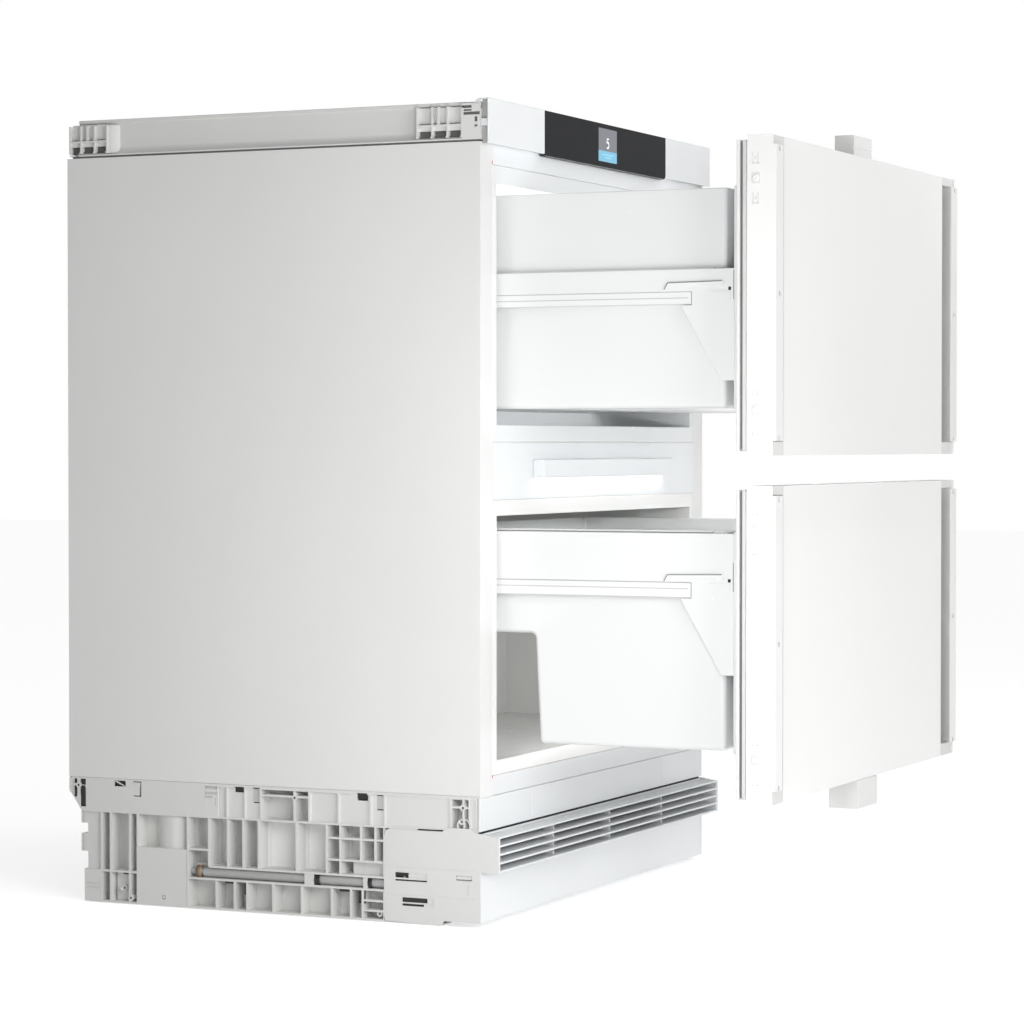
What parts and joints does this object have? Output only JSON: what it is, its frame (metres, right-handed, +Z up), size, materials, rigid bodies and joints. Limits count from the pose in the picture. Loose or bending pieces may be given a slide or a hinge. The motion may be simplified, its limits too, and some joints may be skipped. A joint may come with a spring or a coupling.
{
  "type": "undercounter drawer refrigerator",
  "caption": "Built-under refrigerator with pull-out drawers on telescopic rails, a touch display in its top frame, an air grille in its base and screw feet.",
  "frame": {"origin": "on the floor, in the middle of the outer box with both drawers pulled out", "axes": "+Z up, the drawers open towards -Y, +X to the right seen from behind the drawer fronts as a user faces them"},
  "size_m": [0.597, 0.7844, 0.82],
  "materials": {
    "painted_steel": "powder coated, satin",
    "galvanised_steel": "zinc coated sheet",
    "foam": "rigid insulating foam",
    "liner_plastic": "vacuum-formed, semi-gloss",
    "trim_plastic": "moulded, fine satin",
    "lamp_diffuser": "milky diffuser",
    "moulded_plastic": "moulded, matt",
    "black_glass": "black glass, polished",
    "display_glass": "lit display behind glass",
    "compressor_paint": "black enamel",
    "mount_rubber": "matt",
    "black_plastic": "moulded, matt",
    "bare_aluminium": "mill finish",
    "fan_plastic": "moulded, matt",
    "runner_steel": "zinc plated",
    "seal_rubber": "soft extrusion",
    "rail_steel": "coated folded sheet",
    "bin_plastic": "moulded, semi-gloss"
  },
  "bodies": {
    "cabinet": {"side_panel_left": "painted_steel", "side_panel_right": "painted_steel", "back_panel": "galvanised_steel", "niche_pan": "galvanised_steel", "insulation_slabs": "foam", "liner_upper": "liner_plastic", "liner_lower": "liner_plastic", "front_cross_bars": "trim_plastic", "mullion_fascia": "trim_plastic", "lamp_bar": "trim_plastic", "lamp_lens": "lamp_diffuser", "top_frame": "moulded_plastic", "top_corner_blocks": "moulded_plastic", "control_housing": "trim_plastic", "control_glass": "black_glass", "control_display": "display_glass", "bottom_fascia": "trim_plastic", "louvre_grille": "trim_plastic", "plinth_panel": "trim_plastic", "base_side_left": "moulded_plastic", "base_side_right": "moulded_plastic", "base_brackets": "moulded_plastic", "base_tray": "galvanised_steel", "compressor": "compressor_paint", "compressor_mounts": "mount_rubber", "condenser": "bare_aluminium", "fan_frame": "black_plastic", "drip_tray": "black_plastic", "mains_inlet": "black_plastic", "evaporator": "bare_aluminium", "air_fan_frame": "liner_plastic", "cabinet_rails": "runner_steel"},
    "upper_drawer": {"upper_front_skin": "painted_steel", "upper_front_core": "moulded_plastic", "upper_front_liner": "liner_plastic", "upper_gasket": "seal_rubber", "upper_panel_rails": "rail_steel", "upper_stop_block": "trim_plastic", "upper_side_frames": "bin_plastic", "upper_bin": "bin_plastic", "upper_drawer_rails": "runner_steel"},
    "lower_drawer": {"lower_front_skin": "painted_steel", "lower_front_core": "moulded_plastic", "lower_front_liner": "liner_plastic", "lower_gasket": "seal_rubber", "lower_panel_rails": "rail_steel", "lower_stop_block": "trim_plastic", "lower_side_frames": "bin_plastic", "lower_bin": "bin_plastic", "lower_drawer_rails": "runner_steel"},
    "condenser_fan": {"condenser_fan_rotor": "black_plastic"},
    "air_fan": {"air_fan_rotor": "fan_plastic"},
    "foot_front_left": {"foot_front_left": "black_plastic"},
    "foot_front_right": {"foot_front_right": "black_plastic"},
    "foot_rear_left": {"foot_rear_left": "black_plastic"},
    "foot_rear_right": {"foot_rear_right": "black_plastic"},
    "rod_left": {"foot_rod_left": "moulded_plastic"},
    "rod_right": {"foot_rod_right": "moulded_plastic"},
    "upper_middle_rails": {"upper_mid_rails": "runner_steel"},
    "lower_middle_rails": {"lower_mid_rails": "runner_steel"}
  },
  "joints": [
    {"name": "upper_drawer_slide", "type": "slide", "parent": "cabinet", "child": "upper_drawer", "axis": [0, -1, 0], "range_m": [-0.264, 0]},
    {"name": "lower_drawer_slide", "type": "slide", "parent": "cabinet", "child": "lower_drawer", "axis": [0, -1, 0], "range_m": [-0.264, 0]},
    {"name": "upper_rail_slide", "type": "slide", "parent": "cabinet", "child": "upper_middle_rails", "axis": [0, -1, 0], "range_m": [-0.132, 0]},
    {"name": "lower_rail_slide", "type": "slide", "parent": "cabinet", "child": "lower_middle_rails", "axis": [0, -1, 0], "range_m": [-0.132, 0]},
    {"name": "condenser_fan_spin", "type": "hinge", "parent": "cabinet", "child": "condenser_fan", "pos_m": [0.06, 0.03215, 0.0742], "axis": [0, 1, 0], "continuous": true},
    {"name": "air_fan_spin", "type": "hinge", "parent": "cabinet", "child": "air_fan", "pos_m": [0, 0.31815, 0.683], "axis": [0, 1, 0], "continuous": true},
    {"name": "foot_front_left_screw", "type": "slide", "parent": "cabinet", "child": "foot_front_left", "axis": [0, 0, -1], "range_m": [0, 0.05]},
    {"name": "foot_front_right_screw", "type": "slide", "parent": "cabinet", "child": "foot_front_right", "axis": [0, 0, -1], "range_m": [0, 0.05]},
    {"name": "foot_rear_left_screw", "type": "slide", "parent": "cabinet", "child": "foot_rear_left", "axis": [0, 0, -1], "range_m": [0, 0.05]},
    {"name": "foot_rear_right_screw", "type": "slide", "parent": "cabinet", "child": "foot_rear_right", "axis": [0, 0, -1], "range_m": [0, 0.05]},
    {"name": "rod_left_turn", "type": "hinge", "parent": "cabinet", "child": "rod_left", "pos_m": [-0.291, 0.01415, 0.0385], "axis": [0, 1, 0], "range_deg": [0, 9000]},
    {"name": "rod_right_turn", "type": "hinge", "parent": "cabinet", "child": "rod_right", "pos_m": [0.291, 0.01415, 0.0385], "axis": [0, 1, 0], "range_deg": [0, 9000]}
  ],
  "couplings": [
    {"joint": "upper_rail_slide", "follows": "upper_drawer_slide", "ratio": 0.5},
    {"joint": "lower_rail_slide", "follows": "lower_drawer_slide", "ratio": 0.5},
    {"joint": "foot_rear_left_screw", "follows": "rod_left_turn", "m_per_rad": 0.00031828},
    {"joint": "foot_rear_right_screw", "follows": "rod_right_turn", "m_per_rad": 0.00031828}
  ]
}
